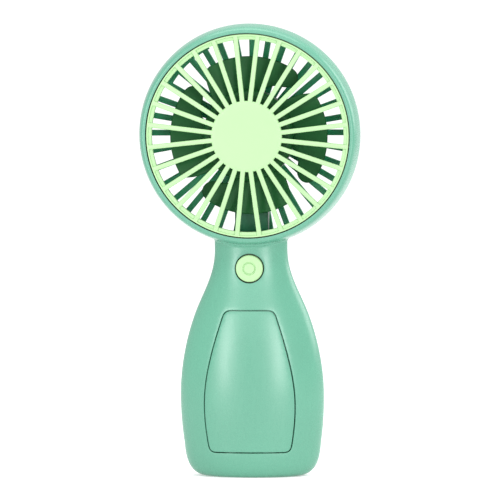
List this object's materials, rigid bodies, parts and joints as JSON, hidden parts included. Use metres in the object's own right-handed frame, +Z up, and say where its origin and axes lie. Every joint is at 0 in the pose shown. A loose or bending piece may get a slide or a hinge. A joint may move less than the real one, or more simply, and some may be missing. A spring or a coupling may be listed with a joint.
{
  "type": "handheld electric fan",
  "caption": "Handheld battery fan: round grilled fan head on a bottle-shaped handle with a power button and a hinged battery door.",
  "frame": {"origin": "centre of the base, on the plane it stands on", "axes": "+Z up along the handle, -Y towards the front the air leaves by, +X to the right seen from the front"},
  "size_m": [0.1, 0.032, 0.2045],
  "materials": {
    "housing": "satin mint plastic",
    "door": "satin mint plastic",
    "front_grille": "satin pale lime plastic",
    "button": "satin pale lime plastic",
    "impeller": "glossy dark green plastic",
    "rear_grille": "satin green plastic",
    "motor_cap": "satin green plastic",
    "screw_steel": "plated steel",
    "tray": "matt dark plastic",
    "cell_can": "bare metal",
    "cell_sleeve": "printed sleeve, plain",
    "contact_metal": "nickel-plated strip",
    "spring_wire": "nickel-plated wire",
    "lead_red": "flexible insulation",
    "lead_black": "flexible insulation",
    "board": "green board lacquer",
    "switch_body": "moulded black",
    "plunger": "moulded black",
    "chip": "moulded black",
    "capacitor": "ceramic",
    "shaft_steel": "ground steel",
    "core_steel": "stacked steel sheet",
    "copper_wire": "enamelled copper",
    "commutator_copper": "turned copper",
    "can_steel": "drawn steel",
    "magnet": "sintered ferrite",
    "bush_bronze": "sintered bronze",
    "end_cap": "moulded white",
    "terminal_brass": "stamped brass"
  },
  "bodies": {
    "body": {"front_shell": "housing", "rear_shell": "housing", "case_screws": "screw_steel", "battery_tray": "tray", "aa_cell_left": "cell_can", "aa_cell_right": "cell_can", "cell_sleeve_left": "cell_sleeve", "cell_sleeve_right": "cell_sleeve", "bridge_contact": "contact_metal", "positive_contact": "contact_metal", "negative_contact": "contact_metal", "spring_bottom": "spring_wire", "spring_top": "spring_wire", "battery_lead_red": "lead_red", "battery_lead_black": "lead_black", "control_board": "board", "board_screws": "screw_steel", "tact_switch": "switch_body", "speed_chip": "chip", "filter_capacitor": "capacitor", "front_grille": "front_grille", "motor_can": "can_steel", "motor_magnets": "magnet", "front_bush": "bush_bronze", "motor_end_cap": "end_cap", "rear_bush": "bush_bronze", "motor_brushes": "terminal_brass", "motor_terminals": "terminal_brass", "motor_screws": "screw_steel", "motor_lead_red": "lead_red", "motor_lead_black": "lead_black", "rear_grille": "rear_grille", "motor_cap": "motor_cap"},
    "rotor": {"impeller": "impeller", "motor_shaft": "shaft_steel", "armature_core": "core_steel", "armature_windings": "copper_wire", "commutator": "commutator_copper"},
    "button": {"power_button": "button", "switch_plunger": "plunger"},
    "door": {"battery_door": "door"}
  },
  "joints": [
    {"name": "impeller_spin", "type": "hinge", "parent": "body", "child": "rotor", "pos_m": [0, 0, 0.1545], "axis": [0, 1, 0], "continuous": true},
    {"name": "button_press", "type": "slide", "parent": "body", "child": "button", "axis": [0, 1, 0], "range_m": [0, 0.0006], "stiffness_N_per_m": 200},
    {"name": "door_open", "type": "hinge", "parent": "body", "child": "door", "pos_m": [0, -0.01405, 0.0119], "axis": [1, 0, 0], "range_deg": [0, 70]}
  ]
}
